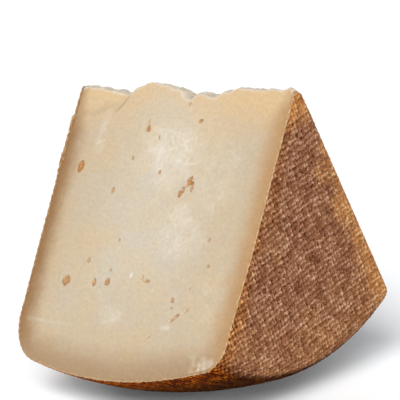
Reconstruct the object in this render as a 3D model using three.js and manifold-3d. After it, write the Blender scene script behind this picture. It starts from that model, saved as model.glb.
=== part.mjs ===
// A sixth of a drum-shaped goat tomme, cut from the wheel and standing on its curved rim.
// Millimetres, +Z up, origin in the middle of the flat spot under the rim.
// X is the wheel's axis, with one flat face of the wheel towards +X and the other towards -X.
// The two cuts meet in a crumbled crest along the top, one cut facing -Y and the other +Y.

import * as THREE from 'three';
import { mergeVertices } from 'three/addons/utils/BufferGeometryUtils.js';
import Module from 'manifold-3d';

// The wheel before it is cut
const BELLY_RADIUS = 100;
const WHEEL_HEIGHT = 87;
const RIM_BULGE = 7.4;
const RIM_TAPER = 2.1;
const FACE_DOME = 1.25;
const SHOULDERS = {
  near: { side: 1, inset: 5.8, drop: 5.8 },
  far: { side: -1, inset: 9.7, drop: 11.7 },
};

// The piece that is cut from it
const SECTOR_ANGLE = THREE.MathUtils.degToRad(59.5);
const FLAT_SPOT_DEPTH = 0.6;
const AXIS_HEIGHT = BELLY_RADIUS - FLAT_SPOT_DEPTH;
const HALF_ANGLE = SECTOR_ANGLE / 2;
const HALF_HEIGHT = WHEEL_HEIGHT / 2;
const EDGE_RADIUS = BELLY_RADIUS - RIM_BULGE;

// How finely the surfaces are divided
const CREST_ROWS = 8;
const CREST_BAND = 16;
const FACE_ROWS = 11;
const SHOULDER_ROWS = 5;
const RIM_ROWS = 7;
const CUT_COLUMNS = 18;
const TURN_STEPS = 16;
const CRUMB_STEP = 1.5;

// The gentle waves that a cheese wire leaves, and how far they reach round onto the rind
const WAVE_HEIGHT = 0.3;
const WAVE_SIZE = 26;
const WAVE_REACH = THREE.MathUtils.degToRad(6);
const FLAKE_START = 4;

// How far the crest has crumbled away below the wheel's axis, at places along that axis
const CREST_DROPS = [
  [-46, 3.4], [-38, 3.1], [-31.5, 3.9], [-23, 4.7], [-19.5, 2.6], [-14, 0.9], [-9, 1.3],
  [-3.5, 2.5], [3.8, 4.6], [7, 3.5], [13.4, 3.8], [18, 2.5], [23, 1.6], [34, 1.6],
  [39, 1.9], [42, 1], [46, 3.2],
];
const CRUMB_SIZE = 3.2;
const CRUMB_HEIGHT = 0.7;
const CREST_ROUNDING = 0.09;
const CREST_HALF_WIDTH = 9;
const CREST_MARGIN = 12;

// Thin flakes that broke off each cut beside the crest, towards the far face: the step's place
// along the axis, its slant with the radius, how far down it runs, its depth, the width of its
// edge, and the length over which the hollow runs out
const FLAKES = [
  { cut: -1, step: -21, slant: -0.2, down: 14, depth: 1.2, edge: 3, length: 20 },
  { cut: 1, step: -8, slant: 0.3, down: 19, depth: 1.4, edge: 4, length: 24 },
];

// Eyes and cracks in the cuts: place along the axis and down the cut, width, height, turn
const EYES = [
  { cut: -1, along: -35.2, down: 31.3, wide: 3.5, high: 4.8, turn: 10 },
  { cut: -1, along: -10.4, down: 16.2, wide: 2.6, high: 4, turn: -8 },
  { cut: -1, along: -27.9, down: 69.9, wide: 3.4, high: 3.8, turn: 20 },
  { cut: -1, along: -15.7, down: 69.3, wide: 1.8, high: 2.5, turn: 0 },
  { cut: -1, along: -10.2, down: 68.7, wide: 2.2, high: 2.4, turn: 35 },
  { cut: -1, along: 10.6, down: 13.3, wide: 2.2, high: 1.6, turn: 0 },
  { cut: -1, along: -18.4, down: 38.4, wide: 1.7, high: 2.8, turn: 15 },
  { cut: -1, along: -1, down: 31.1, wide: 1.7, high: 1.8, turn: 0 },
  { cut: -1, along: 12.8, down: 33.6, wide: 1.9, high: 5.2, turn: 24 },
  { cut: -1, along: 10.2, down: 37.2, wide: 3.2, high: 2.2, turn: 30 },
  { cut: -1, along: 5.5, down: 66.2, wide: 2.3, high: 1.6, turn: 0 },
  { cut: -1, along: 21, down: 76.8, wide: 4.6, high: 1.5, turn: 38 },
  { cut: 1, along: 24, down: 28, wide: 3.6, high: 4.4, turn: 12 },
  { cut: 1, along: -12, down: 22, wide: 2.4, high: 3.4, turn: -20 },
  { cut: 1, along: -24, down: 58, wide: 3.2, high: 3.6, turn: 0 },
  { cut: 1, along: 2, down: 47, wide: 4.4, high: 1.7, turn: 32 },
  { cut: 1, along: 14, down: 72, wide: 2.4, high: 2.6, turn: 15 },
  { cut: 1, along: 19, down: 69, wide: 1.8, high: 2, turn: 0 },
  { cut: 1, along: -31, down: 33, wide: 1.9, high: 2.2, turn: 40 },
];
const EYE_DETAIL = 1;
const EYE_DEPTH_SHARE = 0.85;
const EYE_ROUGHNESS = 0.16;
const EYE_SINK = 0.1;

// The corner that crumbled where the shown cut meets the rim
const CHIP = { cut: -1, along: 38.5, down: 92.4, wide: 12, high: 4.6, deep: 2, turn: 14 };
const CHIP_DETAIL = 2;

const PASTE_COLOUR = 0xdcc8aa;
const PASTE_ROUGHNESS = 0.6;

// A repeatable random number from 0 to 1 for a pair of whole numbers
function randomAt(i, j, seed) {
  const wave = Math.sin(i * 127.1 + j * 311.7 + seed * 74.7) * 43758.5453;
  return wave - Math.floor(wave);
}

// Smooth random lumps from -1 to 1, spaced by size
function lumps(a, b, size, seed) {
  const i = Math.floor(a / size);
  const j = Math.floor(b / size);
  const s = THREE.MathUtils.smoothstep(a / size - i, 0, 1);
  const t = THREE.MathUtils.smoothstep(b / size - j, 0, 1);
  const low = THREE.MathUtils.lerp(randomAt(i, j, seed), randomAt(i + 1, j, seed), s);
  const high = THREE.MathUtils.lerp(randomAt(i, j + 1, seed), randomAt(i + 1, j + 1, seed), s);
  return 2 * THREE.MathUtils.lerp(low, high, t) - 1;
}

// The rim's radius at a place along the axis: it bulges, and is smaller at the near face
function rimRadius(x) {
  const u = x / HALF_HEIGHT;
  return EDGE_RADIUS + RIM_BULGE * (1 - u * u) - RIM_TAPER * u;
}

function rimSlope(x) {
  return (-2 * RIM_BULGE * x / HALF_HEIGHT - RIM_TAPER) / HALF_HEIGHT;
}

// A flat face's place along the axis at a radius: it is very slightly domed
function faceHeight(side, radius) {
  return side * (HALF_HEIGHT + FACE_DOME * (1 - (radius / EDGE_RADIUS) ** 2));
}

function faceSlope(side, radius) {
  return -2 * side * FACE_DOME * radius / EDGE_RADIUS ** 2;
}

// The round shoulder from a flat face to the rim, as a cubic curve in (x, radius)
function shoulderCurve({ side, inset, drop }) {
  const roundness = 0.5523;
  const startRadius = rimRadius(side * HALF_HEIGHT) - drop;
  const start = new THREE.Vector2(faceHeight(side, startRadius), startRadius);
  const outward = new THREE.Vector2(faceSlope(side, startRadius), 1).normalize();
  const endX = side * (HALF_HEIGHT - inset);
  const end = new THREE.Vector2(endX, rimRadius(endX));
  const alongRim = new THREE.Vector2(side, side * rimSlope(endX)).normalize();
  const gap = end.clone().sub(start);
  const reach = gap.cross(alongRim) / outward.cross(alongRim);
  const corner = start.clone().addScaledVector(outward, reach);
  return new THREE.CubicBezierCurve(
    start,
    start.clone().lerp(corner, roundness),
    end.clone().lerp(corner, roundness),
    end,
  );
}

// Half of the wheel's section, from its centre over the shoulder to the widest place of the rim
function halfSection(shoulder) {
  const curve = shoulderCurve(shoulder);
  const start = curve.getPoint(0);
  const points = [];
  for (let i = 0; i < CREST_ROWS; i += 1) {
    const radius = CREST_BAND * i / CREST_ROWS;
    points.push(new THREE.Vector2(faceHeight(shoulder.side, radius), radius));
  }
  for (let i = 0; i < FACE_ROWS; i += 1) {
    const radius = THREE.MathUtils.lerp(CREST_BAND, start.y, i / FACE_ROWS);
    points.push(new THREE.Vector2(faceHeight(shoulder.side, radius), radius));
  }
  points.push(...curve.getPoints(SHOULDER_ROWS).slice(0, SHOULDER_ROWS));
  const end = curve.getPoint(1);
  const bellyX = -RIM_TAPER / (2 * RIM_BULGE) * HALF_HEIGHT;
  for (let i = 0; i <= RIM_ROWS; i += 1) {
    const x = THREE.MathUtils.lerp(end.x, bellyX, i / RIM_ROWS);
    points.push(new THREE.Vector2(x, rimRadius(x)));
  }
  return points;
}

// How far a cut stands proud of its true plane
function cutRelief(cut, x, radius) {
  const waves = WAVE_HEIGHT * lumps(x, radius, WAVE_SIZE, 5 + cut);
  const fromCrest = THREE.MathUtils.smoothstep(radius, 0, CREST_BAND);
  let relief = waves * fromCrest;
  for (const flake of FLAKES.filter((one) => one.cut === cut)) {
    const past = flake.step + flake.slant * radius - x;
    const beyondStep = THREE.MathUtils.smoothstep(past, -flake.edge / 2, flake.edge / 2);
    const runOut = 1 - THREE.MathUtils.smoothstep(past, 0, flake.length);
    const aboveFoot = THREE.MathUtils.smoothstep(flake.down - radius, 0, flake.edge);
    const belowCrest = THREE.MathUtils.smoothstep(radius, 0, FLAKE_START);
    relief -= flake.depth * beyondStep * runOut * aboveFoot * belowCrest;
  }
  return relief;
}

// A point of the piece: its place in the wheel's section and its turn from the middle
function placePoint(x, radius, angle) {
  let push = 0;
  for (const cut of [-1, 1]) {
    const fromCut = HALF_ANGLE - cut * angle;
    const share = 1 - THREE.MathUtils.smoothstep(fromCut, 0, WAVE_REACH);
    push += cut * share * cutRelief(cut, x, radius);
  }
  const y = radius * Math.sin(angle) + push * Math.cos(angle);
  const z = AXIS_HEIGHT - radius * Math.cos(angle) + push * Math.sin(angle);
  return new THREE.Vector3(x, y, z);
}

// A grid of points as two triangles a cell, wound so that it looks towards the chosen side
function addGrid(positions, grid, flip) {
  for (let i = 0; i + 1 < grid.length; i += 1) {
    for (let j = 0; j + 1 < grid[i].length; j += 1) {
      const a = grid[i][j];
      const b = grid[i + 1][j];
      const c = grid[i + 1][j + 1];
      const d = grid[i][j + 1];
      const corners = flip ? [a, c, b, a, d, c] : [a, b, c, a, c, d];
      corners.forEach((corner) => positions.push(corner.x, corner.y, corner.z));
    }
  }
}

// A closed solid for cutting and joining, from loose triangles or a three.js geometry
function solidFrom(wasm, geometry) {
  geometry.deleteAttribute('normal');
  geometry.deleteAttribute('uv');
  const merged = mergeVertices(geometry, 1e-4);
  const vertices = merged.getAttribute('position').array;
  const kept = [];
  const index = merged.getIndex().array;
  for (let i = 0; i < index.length; i += 3) {
    const [a, b, c] = [index[i], index[i + 1], index[i + 2]];
    if (a !== b && b !== c && c !== a) {
      kept.push(a, b, c);
    }
  }
  const mesh = new wasm.Mesh({
    numProp: 3,
    vertProperties: new Float32Array(vertices),
    triVerts: new Uint32Array(kept),
  });
  return new wasm.Manifold(mesh);
}

function geometryFrom(positions) {
  const geometry = new THREE.BufferGeometry();
  geometry.setAttribute('position', new THREE.Float32BufferAttribute(positions, 3));
  return geometry;
}

// The whole sector: the rind swept round the axis, and the two cuts between its edges
function sectorBlank(wasm) {
  const far = halfSection(SHOULDERS.far);
  const near = halfSection(SHOULDERS.near);
  const outline = [...far, ...near.slice(0, -1).reverse()];
  const positions = [];

  const angles = [];
  for (let step = 0; step <= TURN_STEPS; step += 1) {
    angles.push(THREE.MathUtils.lerp(-HALF_ANGLE, HALF_ANGLE, step / TURN_STEPS));
  }
  const rind = angles.map((angle) => outline.map((at) => placePoint(at.x, at.y, angle)));
  addGrid(positions, rind, false);

  for (const cut of [-1, 1]) {
    const rows = far.map((from, row) => {
      const to = near[row];
      const points = [];
      for (let column = 0; column <= CUT_COLUMNS; column += 1) {
        const share = column / CUT_COLUMNS;
        const x = THREE.MathUtils.lerp(from.x, to.x, share);
        const radius = THREE.MathUtils.lerp(from.y, to.y, share);
        points.push(placePoint(x, radius, cut * HALF_ANGLE));
      }
      return points;
    });
    addGrid(positions, rows, cut === 1);
  }
  return solidFrom(wasm, geometryFrom(positions));
}

// How far the crest has crumbled away at a place along the axis
function crestDrop(x) {
  const last = CREST_DROPS.length - 1;
  if (x <= CREST_DROPS[0][0]) {
    return CREST_DROPS[0][1];
  }
  if (x >= CREST_DROPS[last][0]) {
    return CREST_DROPS[last][1];
  }
  const next = CREST_DROPS.findIndex(([place]) => place > x);
  const [fromX, fromDrop] = CREST_DROPS[next - 1];
  const [toX, toDrop] = CREST_DROPS[next];
  const share = THREE.MathUtils.smoothstep(x, fromX, toX);
  return THREE.MathUtils.lerp(fromDrop, toDrop, share);
}

function crestHeight(x, y) {
  const crumbs = CRUMB_HEIGHT * lumps(x, y, CRUMB_SIZE, 2);
  const fall = CREST_ROUNDING * y * y;
  return AXIS_HEIGHT - crestDrop(x) - fall + crumbs * THREE.MathUtils.smoothstep(Math.abs(y), 0, 1.5);
}

// What crumbled off the crest: a block whose underside is the broken surface
function crestWaste(wasm) {
  const halfLength = HALF_HEIGHT + CREST_MARGIN;
  const xSteps = Math.round(2 * halfLength / CRUMB_STEP);
  const ySteps = Math.round(2 * CREST_HALF_WIDTH / CRUMB_STEP);
  const top = AXIS_HEIGHT + CREST_MARGIN;
  const broken = [];
  const lid = [];
  for (let i = 0; i <= xSteps; i += 1) {
    const x = THREE.MathUtils.lerp(-halfLength, halfLength, i / xSteps);
    const row = [];
    const lidRow = [];
    for (let j = 0; j <= ySteps; j += 1) {
      const y = THREE.MathUtils.lerp(-CREST_HALF_WIDTH, CREST_HALF_WIDTH, j / ySteps);
      row.push(new THREE.Vector3(x, y, crestHeight(x, y)));
      lidRow.push(new THREE.Vector3(x, y, top));
    }
    broken.push(row);
    lid.push(lidRow);
  }
  const positions = [];
  addGrid(positions, broken, true);
  addGrid(positions, lid, false);
  addGrid(positions, [broken[0], lid[0]], false);
  addGrid(positions, [broken[xSteps], lid[xSteps]], true);
  addGrid(positions, [broken.map((row) => row[0]), lid.map((row) => row[0])], true);
  addGrid(positions, [broken.map((row) => row[ySteps]), lid.map((row) => row[ySteps])], false);
  return solidFrom(wasm, geometryFrom(positions));
}

// A rough rounded hollow, sunk into a cut at its own place
function hollow(wasm, eye, detail, seed) {
  const { cut, along, down, wide, high, turn } = eye;
  const depth = eye.deep ?? EYE_DEPTH_SHARE * Math.min(wide, high);
  const geometry = new THREE.IcosahedronGeometry(1, detail);
  const places = geometry.getAttribute('position');
  const point = new THREE.Vector3();
  for (let i = 0; i < places.count; i += 1) {
    point.fromBufferAttribute(places, i);
    const rough = EYE_ROUGHNESS * lumps(point.x + 2 * point.y, point.z - point.y, 0.7, seed);
    point.multiplyScalar(1 + rough);
    places.setXYZ(i, point.x, point.y, point.z);
  }
  geometry.scale(wide / 2, depth, high / 2);
  geometry.rotateY(THREE.MathUtils.degToRad(turn));
  geometry.translate(0, EYE_SINK * cut, 0);
  geometry.rotateX(cut * HALF_ANGLE);
  const radial = new THREE.Vector3(0, Math.sin(cut * HALF_ANGLE), -Math.cos(HALF_ANGLE));
  geometry.translate(along, down * radial.y, AXIS_HEIGHT + down * radial.z);
  return solidFrom(wasm, geometry);
}

// What lies below the flat spot that the piece stands on
function floorWaste(wasm) {
  const size = 4 * BELLY_RADIUS;
  const box = new THREE.BoxGeometry(size, size, size);
  box.translate(0, 0, -size / 2);
  return solidFrom(wasm, box);
}

async function wedgeGeometry() {
  const wasm = await Module();
  wasm.setup();
  let wedge = sectorBlank(wasm).subtract(crestWaste(wasm)).subtract(floorWaste(wasm));
  EYES.forEach((eye, number) => {
    wedge = wedge.subtract(hollow(wasm, eye, EYE_DETAIL, number));
  });
  wedge = wedge.subtract(hollow(wasm, CHIP, CHIP_DETAIL, EYES.length));
  const { vertProperties, triVerts } = wedge.getMesh();
  const geometry = new THREE.BufferGeometry();
  geometry.setAttribute('position', new THREE.BufferAttribute(vertProperties, 3));
  geometry.setIndex(new THREE.BufferAttribute(triVerts, 1));
  geometry.computeVertexNormals();
  return geometry;
}

const paste = new THREE.MeshStandardMaterial({
  color: PASTE_COLOUR,
  roughness: PASTE_ROUGHNESS,
  metalness: 0,
});

const wedge = new THREE.Mesh(await wedgeGeometry(), paste);
wedge.name = 'tomme_wedge';

const piece = new THREE.Group();
piece.add(wedge);

export default piece;
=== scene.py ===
"""A wedge of aged goat tomme: pale paste under a brown rind that its pressing cloth has marked.

Sizes are in millimetres until a mesh is written, which is in metres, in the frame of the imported
model. X is the wheel's axis, the shown cut looks towards -Y, and the wedge stands on its rim.
"""

import logging
import math
from dataclasses import dataclass
from enum import Enum

import bpy
import numpy as np
from mathutils import Matrix, Vector
from mathutils.geometry import delaunay_2d_cdt


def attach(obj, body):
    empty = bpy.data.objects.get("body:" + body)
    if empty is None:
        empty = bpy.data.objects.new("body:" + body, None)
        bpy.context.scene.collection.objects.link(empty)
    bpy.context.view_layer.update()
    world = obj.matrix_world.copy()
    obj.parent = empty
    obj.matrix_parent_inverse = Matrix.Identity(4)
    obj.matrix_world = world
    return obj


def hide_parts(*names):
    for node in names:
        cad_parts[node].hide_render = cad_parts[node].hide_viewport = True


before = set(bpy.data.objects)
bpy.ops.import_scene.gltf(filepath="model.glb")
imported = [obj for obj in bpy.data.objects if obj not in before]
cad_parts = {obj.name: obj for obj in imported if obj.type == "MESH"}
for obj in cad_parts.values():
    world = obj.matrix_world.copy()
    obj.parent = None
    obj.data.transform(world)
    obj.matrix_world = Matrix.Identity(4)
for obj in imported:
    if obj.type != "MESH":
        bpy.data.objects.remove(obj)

MM = 0.001
CAD_NODE = "tomme_wedge"
BODY = "root"
IMAGE_SIZE = 400
SENSOR_WIDTH = 36.0
SHARP_ANGLE = math.radians(65)
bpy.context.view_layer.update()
# What two lengths or angles may differ by and still be the same, and how finely points are told apart
TINY = 1e-6
PLACES_PER_MM = 1e4
# Large uneven factors of the two places and the seed, and of the wave, that make random numbers
SCRAMBLE = (127.1, 311.7, 74.7, 43758.5453)
# The colour sockets of a Mix node, which share their names with its other sockets
MIX_A, MIX_B, MIXED = 6, 7, 2

Socket = bpy.types.NodeSocket
# What a node's input takes: a value, or the output that feeds it
Value = Socket | float | tuple
# Where something starts and where it is complete
Reach = tuple[float, float]
# The height, the size and the seed of each layer of lumps
Layers = tuple[tuple[float, float, int], ...]
# The size of a pattern's lumps in millimetres, and how many finer layers it has
Pattern = tuple[float, float]

logging.basicConfig(level=logging.INFO, format="%(message)s")
log = logging.getLogger("tomme")


class Cut(Enum):
    """The two cuts of the wedge, by the side of the wheel's axis that each looks towards."""

    SHOWN = -1
    HIDDEN = 1


def smoothstep(value: np.ndarray | float, low: float, high: float) -> np.ndarray:
    """A smooth rise from 0 at low to 1 at high."""
    share = np.clip((np.asarray(value, float) - low) / (high - low), 0.0, 1.0)
    return share * share * (3.0 - 2.0 * share)


def random_at(i: np.ndarray, j: np.ndarray, seed: float) -> np.ndarray:
    """A repeatable random number from 0 to 1 for each pair of whole numbers."""
    by_i, by_j, by_seed, by_wave = SCRAMBLE
    wave = np.sin(i * by_i + j * by_j + seed * by_seed) * by_wave
    return wave - np.floor(wave)


def lumps(a: np.ndarray, b: np.ndarray, size: float, seed: float) -> np.ndarray:
    """Smooth random lumps.

    Args:
        a: first coordinate in millimetres.
        b: second coordinate in millimetres.
        size: spacing of the lumps in millimetres.
        seed: picks the pattern.

    Returns:
        Heights from -1 to 1.
    """
    i, j = np.floor(a / size), np.floor(b / size)
    s, t = smoothstep(a / size - i, 0, 1), smoothstep(b / size - j, 0, 1)
    low = random_at(i, j, seed) * (1 - s) + random_at(i + 1, j, seed) * s
    high = random_at(i, j + 1, seed) * (1 - s) + random_at(i + 1, j + 1, seed) * s
    return 2 * (low * (1 - t) + high * t) - 1


def layered(a: np.ndarray, b: np.ndarray, layers: Layers, start: np.ndarray | float = 0.0) -> np.ndarray:
    """Layers of lumps added onto a start."""
    return sum((height * lumps(a, b, size, seed) for height, size, seed in layers), start)


def walked(line: np.ndarray) -> np.ndarray:
    """The length walked along a line of points up to each of them."""
    return np.concatenate([[0.0], np.cumsum(np.linalg.norm(np.diff(line, axis=0), axis=1))])


def linear(colour: str) -> tuple[float, float, float, float]:
    """An sRGB hex colour such as "#dcc8aa" as linear RGBA."""
    parts = [int(colour[i:i + 2], 16) / 255 for i in (1, 3, 5)]
    return (*(c / 12.92 if c <= 0.04045 else ((c + 0.055) / 1.055) ** 2.4 for c in parts), 1.0)


@dataclass(frozen=True)
class Span:
    """A stretch of values, and what its two ends become."""

    start: float
    end: float
    low: float = 0.0
    high: float | Socket = 1.0


@dataclass(frozen=True)
class Board:
    """A node tree that is being wired: its methods add nodes and give what comes out of them."""

    tree: bpy.types.NodeTree

    def add(self, kind: str, inputs: dict | None = None, **settings) -> bpy.types.Node:
        """Adds a node with its settings, values and links.

        Args:
            kind: the node's type name.
            inputs: for each input, by name or number, a value or the output socket that feeds it.
            settings: the node's own properties.

        Returns:
            The new node.
        """
        node = self.tree.nodes.new(kind)
        for name, value in settings.items():
            setattr(node, name, value)
        for key, value in (inputs or {}).items():
            if isinstance(value, Socket):
                self.tree.links.new(value, node.inputs[key])
            else:
                node.inputs[key].default_value = value
        return node

    def math(self, operation: str, *values: Value) -> Socket:
        """A calculation with numbers."""
        return self.add("ShaderNodeMath", dict(enumerate(values)), operation=operation).outputs[0]

    def vector(self, operation: str, *values: Value) -> Socket:
        """A calculation with vectors. A length or a dot product comes out as a number."""
        node = self.add("ShaderNodeVectorMath", dict(enumerate(values)), operation=operation)
        return node.outputs["Value" if operation in ("LENGTH", "DOT_PRODUCT") else "Vector"]

    def scale(self, vector: Value, by: Value) -> Socket:
        """A vector or a colour times a number."""
        return self.add("ShaderNodeVectorMath", {0: vector, "Scale": by}, operation="SCALE").outputs[0]

    def parts(self, vector: Socket) -> list[Socket]:
        """The three numbers of a vector."""
        return list(self.add("ShaderNodeSeparateXYZ", {0: vector}).outputs)

    def spread(self, value: Socket, span: Span, interpolation: str = "LINEAR") -> Socket:
        """A number moved from a span's stretch to what its ends become, and held beyond them."""
        return self.add("ShaderNodeMapRange", {
            "Value": value, "From Min": span.start, "From Max": span.end, "To Min": span.low,
            "To Max": span.high}, interpolation_type=interpolation).outputs[0]

    def mix(self, share: Value, first: Value, second: Value, blend: str = "MIX") -> Socket:
        """Two colours mixed: only the first at a share of 0, only the second at 1."""
        inputs = {0: share, MIX_A: first, MIX_B: second}
        return self.add("ShaderNodeMix", inputs, data_type="RGBA", blend_type=blend).outputs[MIXED]

    def noise(self, where: Socket, size: float, detail: float, unit: float = MM) -> Socket:
        """A random pattern.

        Args:
            where: the place that it is read at.
            size: the size of its lumps.
            detail: how many finer layers it has.
            unit: what one of the size is at that place: a millimetre in metres, or 1 for threads.

        Returns:
            Numbers around 0.5.
        """
        return self.add("ShaderNodeTexNoise", {
            "Vector": where, "Scale": 1 / (size * unit), "Detail": detail, "Roughness": 0.6}).outputs[0]

    def kept(self, *names: str) -> list[Socket]:
        """The numbers that the mesh keeps under these names, for a material."""
        return [self.add("ShaderNodeAttribute", attribute_name=name).outputs["Fac"] for name in names]

    def read(self, kind: str, *names: str) -> list[Socket]:
        """The values of one kind that the mesh keeps under these names, for a geometry tree."""
        node = "GeometryNodeInputNamedAttribute"
        return [self.add(node, {"Name": name}, data_type=kind).outputs[0] for name in names]

    def moved(self, made: Socket, how: str, by: Socket) -> Socket:
        """Geometry with its points moved by an "Offset" or to a "Position"."""
        return self.add("GeometryNodeSetPosition", {"Geometry": made, how: by}).outputs[0]

    def surface(self, height: Socket, strength: Value, distance: float, inputs: dict) -> None:
        """Ends a material with one surface that has a fine relief in its shading.

        Args:
            height: the relief's height, from 0 to 1.
            strength: how much of it shows.
            distance: how high 1 is, in millimetres.
            inputs: the surface's other values, by name.
        """
        relief = {"Height": height, "Strength": strength, "Distance": distance * MM}
        bump = self.add("ShaderNodeBump", relief)
        made = self.add("ShaderNodeBsdfPrincipled", {"Normal": bump.outputs[0], **inputs})
        self.add("ShaderNodeOutputMaterial", {"Surface": made.outputs[0]})

    def dress(self, made: Socket, finish: Socket) -> None:
        """Ends a geometry tree with real, dressed geometry."""
        real = self.add("GeometryNodeRealizeInstances", {"Geometry": made})
        dressed = self.add("GeometryNodeSetMaterial", {"Geometry": real.outputs[0], "Material": finish})
        self.add("NodeGroupOutput", {0: dressed.outputs[0]})


def new_shader(name: str) -> tuple[bpy.types.Material, Board, Socket]:
    """A new material, its empty node tree, and the place in metres that its patterns are read at."""
    made = bpy.data.materials.new(name)
    made.use_nodes = True
    made.node_tree.nodes.clear()
    board = Board(made.node_tree)
    return made, board, board.add("ShaderNodeTexCoord").outputs["Object"]


def new_shaper(name: str, inputs: dict[str, str]) -> tuple[Board, bpy.types.NodeOutputs]:
    """Starts a geometry node tree.

    Args:
        name: the tree's name.
        inputs: the kind of socket of each named input after the geometry, such as "Float".

    Returns:
        The tree, and the sockets that its inputs come out of.
    """
    tree = bpy.data.node_groups.new(name, "GeometryNodeTree")
    for label, kind in {"Geometry": "Geometry", **inputs}.items():
        tree.interface.new_socket(label, in_out="INPUT", socket_type="NodeSocket" + kind)
    tree.interface.new_socket("Geometry", in_out="OUTPUT", socket_type="NodeSocketGeometry")
    board = Board(tree)
    return board, board.add("NodeGroupInput").outputs


def settle(obj: bpy.types.Object) -> None:
    """Turns what an object's modifiers make into its plain mesh, and removes them."""
    graph = bpy.context.evaluated_depsgraph_get()
    made = bpy.data.meshes.new_from_object(obj.evaluated_get(graph))
    obj.modifiers.clear()
    made.name = obj.name
    obj.data = made


def shape(obj: bpy.types.Object, tree: bpy.types.NodeTree, values: dict[str, object]) -> None:
    """Runs a geometry node tree on an object and keeps what it makes as the plain mesh.

    Args:
        obj: the object that the tree works on.
        tree: the tree.
        values: a value for each of its named inputs.
    """
    modifier = obj.modifiers.new(tree.name, "NODES")
    modifier.node_group = tree
    for item in tree.interface.items_tree:
        if item.in_out == "INPUT" and item.name in values:
            modifier[item.identifier] = values[item.name]
    settle(obj)


def cut_away(obj: bpy.types.Object, waste: bpy.types.Object) -> None:
    """Cuts one closed mesh out of another and keeps the result as a plain mesh."""
    modifier = obj.modifiers.new("cut", "BOOLEAN")
    modifier.operation = "DIFFERENCE"
    modifier.solver = "MANIFOLD"
    modifier.object = waste
    settle(obj)


def add_object(name: str, data: bpy.types.ID) -> bpy.types.Object:
    """A new object in the scene that holds this mesh, light or camera."""
    obj = bpy.data.objects.new(name, data)
    bpy.context.scene.collection.objects.link(obj)
    return obj


def new_piece(name: str, points: np.ndarray, faces: list[np.ndarray]) -> bpy.types.Object:
    """Makes an object from loose parts of one closed surface.

    Args:
        name: the object's name.
        points: n by 3, in millimetres.
        faces: arrays of m by 3 point numbers, wound to face outwards.

    Returns:
        The object in metres, with points at one place merged and the faces this empties dropped.
    """
    places = np.round(points * PLACES_PER_MM)
    _, first, merged = np.unique(places, axis=0, return_index=True, return_inverse=True)
    triangles = merged.reshape(-1)[np.vstack(faces)]
    a, b, c = triangles.T
    triangles = triangles[(a != b) & (b != c) & (c != a)]
    mesh = bpy.data.meshes.new(name)
    mesh.from_pydata((points[first] * MM).tolist(), [], triangles.tolist())
    return add_object(name, mesh)


def grid_faces(numbers: np.ndarray) -> np.ndarray:
    """Two triangles for each cell of a grid of point numbers."""
    a, b, c, d = numbers[:-1, :-1], numbers[1:, :-1], numbers[1:, 1:], numbers[:-1, 1:]
    return np.vstack([np.stack([p.ravel() for p in cell], 1) for cell in ((a, b, c), (a, c, d))])


def points_of(mesh: bpy.types.Mesh) -> np.ndarray:
    """A mesh's points in millimetres."""
    values = np.empty(len(mesh.vertices) * 3, np.float32)
    mesh.vertices.foreach_get("co", values)
    return values.reshape(-1, 3).astype(float) / MM


def store(mesh: bpy.types.Mesh, name: str, values: np.ndarray) -> None:
    """Keeps one number or vector for each point of a mesh as a named attribute."""
    kind, key = ("FLOAT", "value") if values.ndim == 1 else ("FLOAT_VECTOR", "vector")
    attribute = mesh.attributes.new(name, kind, "POINT")
    attribute.data.foreach_set(key, values.astype(np.float32).ravel())


def smooth(mesh: bpy.types.Mesh) -> None:
    """Shades a mesh smoothly but for its sharp edges."""
    mesh.shade_smooth()
    mesh.set_sharp_from_angle(angle=SHARP_ANGLE)


@dataclass(frozen=True)
class Shoulder:
    """The round edge between a flat face and the rim."""

    side: int
    inset: float
    drop: float


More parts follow.
